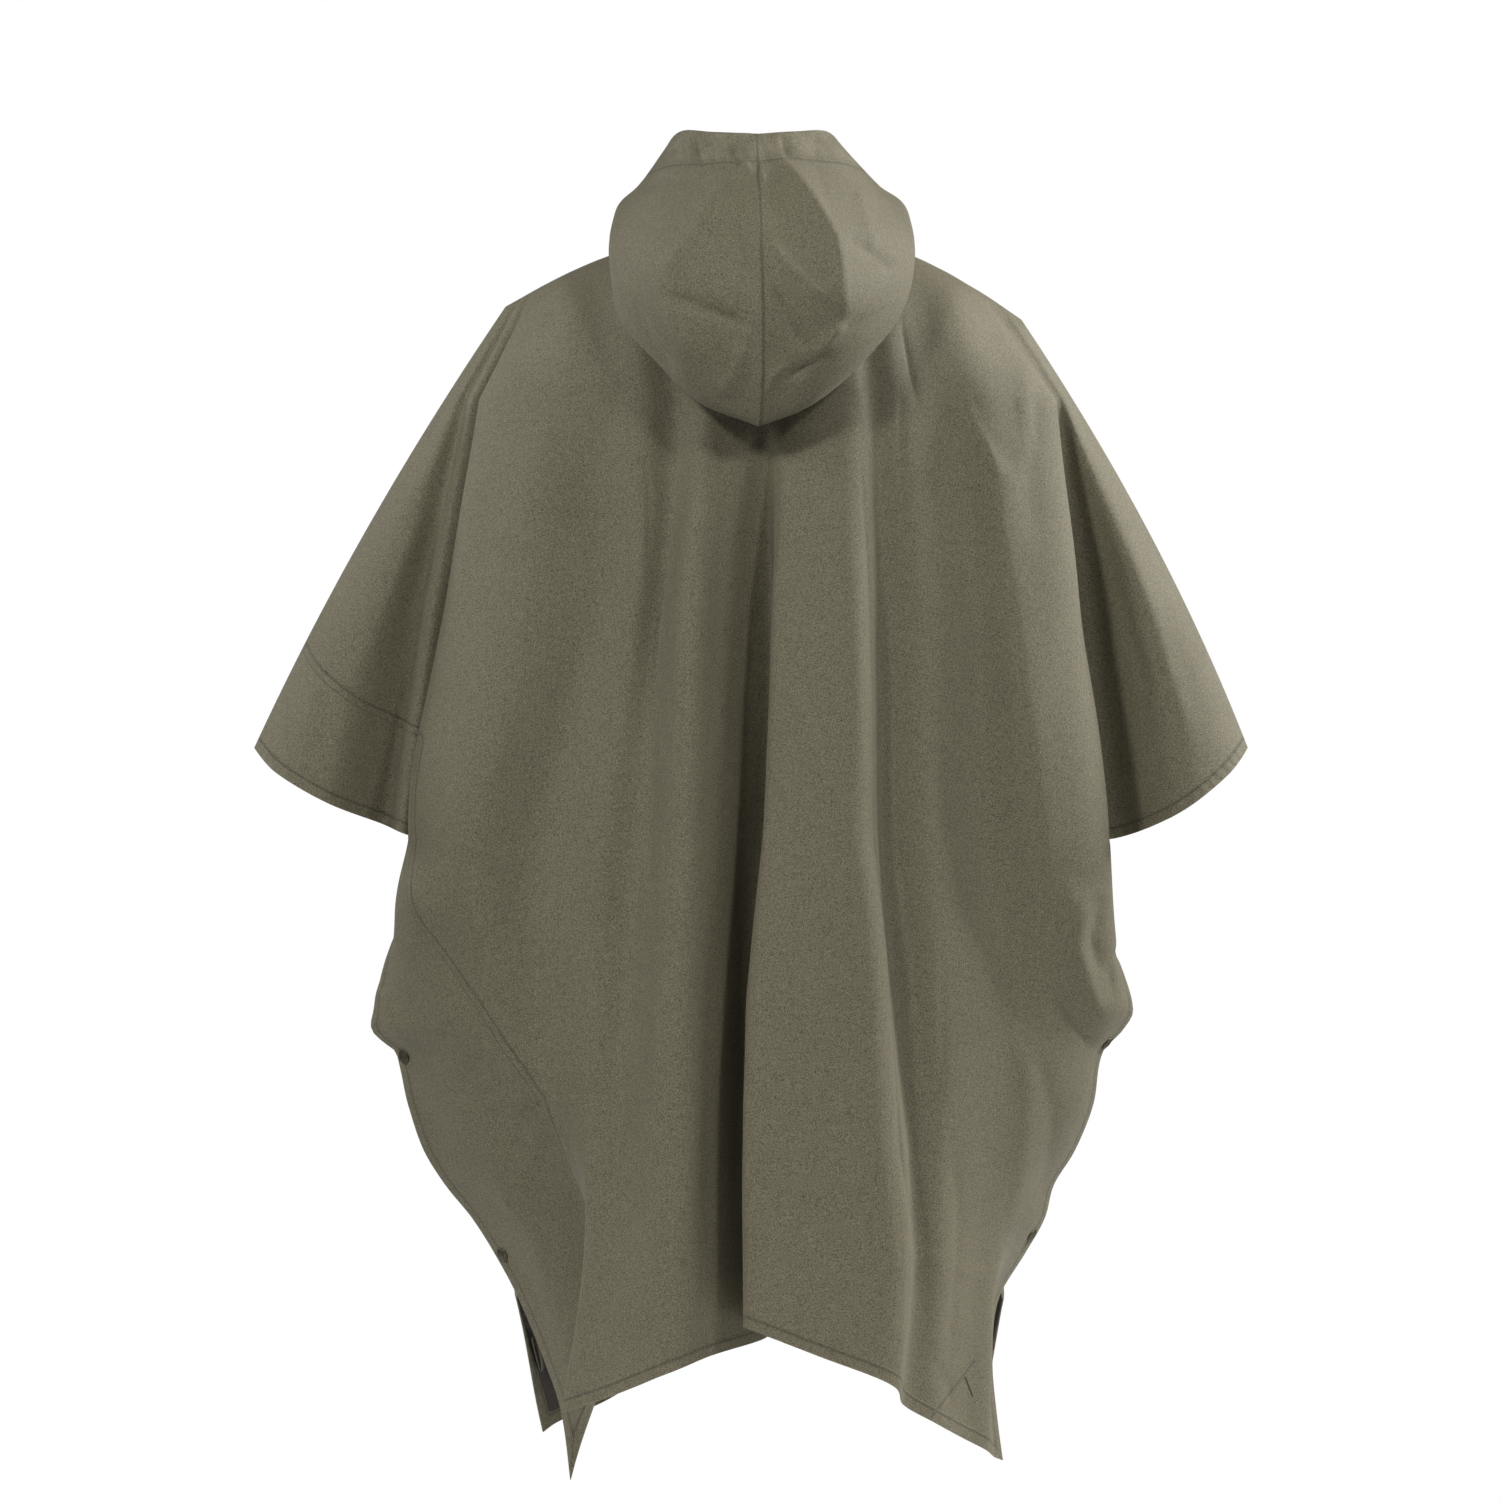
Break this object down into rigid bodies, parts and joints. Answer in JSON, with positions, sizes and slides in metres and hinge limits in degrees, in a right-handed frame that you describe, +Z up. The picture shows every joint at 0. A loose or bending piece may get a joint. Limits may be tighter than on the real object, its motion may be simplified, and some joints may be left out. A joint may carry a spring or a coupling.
{
  "type": "rain poncho",
  "caption": "Hooded rain poncho in its worn shape: a loose cloth that falls from the shoulders over the arms, snapped shut at the sides, with the hood hanging open behind the neck.",
  "frame": {"origin": "middle of the neck opening at shoulder height, between the two shoulders that hold the garment up", "axes": "+X towards the wearer's right, +Y forward, the way the wearer faces, +Z up"},
  "size_m": [0.9936, 0.4332, 1.3309],
  "materials": {
    "cloth": "olive coated plain weave with a slight sheen",
    "tape": "matt woven tape",
    "snap": "dull olive lacquer, slightly worn"
  },
  "bodies": {
    "root": {"body_back_left_sleeve": "cloth", "body_back_left": "cloth", "body_back_left_skirt": "cloth", "body_back_middle": "cloth", "body_back_right": "cloth", "body_back_right_skirt": "cloth", "body_back_right_sleeve": "cloth", "body_front_left_sleeve": "cloth", "body_front_left": "cloth", "body_front_left_skirt": "cloth", "body_front_middle": "cloth", "body_front_right": "cloth", "body_front_right_skirt": "cloth", "body_front_right_sleeve": "cloth", "side_strip_back": "cloth", "side_strip_front": "cloth", "hood_left": "cloth", "hood_right": "cloth", "hood_left_base": "cloth", "hood_right_base": "cloth", "hood_channel_left": "cloth", "hood_channel_right": "cloth", "tape_loop": "tape", "snap_cap_left_upper": "snap", "snap_collar_left_upper": "snap", "snap_plate_left_upper": "snap", "snap_cap_left_lower": "snap", "snap_collar_left_lower": "snap", "snap_plate_left_lower": "snap", "snap_cap_right_upper": "snap", "snap_collar_right_upper": "snap", "snap_plate_right_upper": "snap", "snap_cap_right_lower": "snap", "snap_collar_right_lower": "snap", "snap_plate_right_lower": "snap"}
  },
  "joints": []
}
